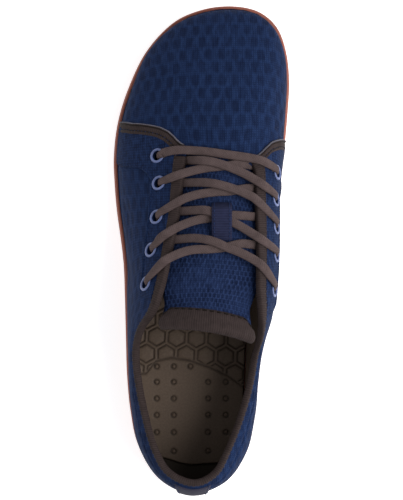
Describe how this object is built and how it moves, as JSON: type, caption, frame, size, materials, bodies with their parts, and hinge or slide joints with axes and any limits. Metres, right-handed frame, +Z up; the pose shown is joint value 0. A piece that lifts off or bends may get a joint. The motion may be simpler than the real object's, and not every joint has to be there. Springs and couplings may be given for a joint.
{
  "type": "lace-up water shoe",
  "caption": "Low lace-up water shoe with a wide toe, navy mesh upper, folded brown bindings and a thin flexible gum rubber sole with honeycomb tread.",
  "frame": {"origin": "centre of the bounding box in plan, on the floor plane that the tread rests on", "axes": "+Y from heel to toe, +X towards the inner side of the foot, +Z up from the floor"},
  "size_m": [0.102, 0.2818, 0.0981],
  "materials": {
    "gum_rubber": "moulded, matte",
    "navy_mesh": "knitted mesh",
    "navy_panel": "close woven",
    "brown_tape": "folded woven tape",
    "brown_lace": "braided",
    "navy_webbing": "woven webbing",
    "brown_footbed": "moulded foam, matte",
    "blue_grey_eyelet": "painted, satin"
  },
  "bodies": {
    "root": {"outsole": "gum_rubber", "insole": "brown_footbed", "upper": "navy_mesh", "tongue": "navy_mesh", "tongue_band": "brown_tape", "lace_loop": "navy_webbing", "topline_binding": "brown_tape", "quarter_tape_lateral": "brown_tape", "quarter_tape_medial": "brown_tape", "eyestay_lateral": "navy_panel", "eyestay_medial": "navy_panel", "heel_strip": "navy_webbing", "eyelet_lateral_1": "blue_grey_eyelet", "eyelet_lateral_2": "blue_grey_eyelet", "eyelet_lateral_3": "blue_grey_eyelet", "eyelet_lateral_4": "blue_grey_eyelet", "eyelet_lateral_5": "blue_grey_eyelet", "eyelet_medial_1": "blue_grey_eyelet", "eyelet_medial_2": "blue_grey_eyelet", "eyelet_medial_3": "blue_grey_eyelet", "eyelet_medial_4": "blue_grey_eyelet", "eyelet_medial_5": "blue_grey_eyelet", "lace_bar": "brown_lace", "lace_crossing_2": "brown_lace", "lace_crossing_3": "brown_lace", "lace_crossing_4": "brown_lace", "lace_crossing_5": "brown_lace"}
  },
  "joints": []
}
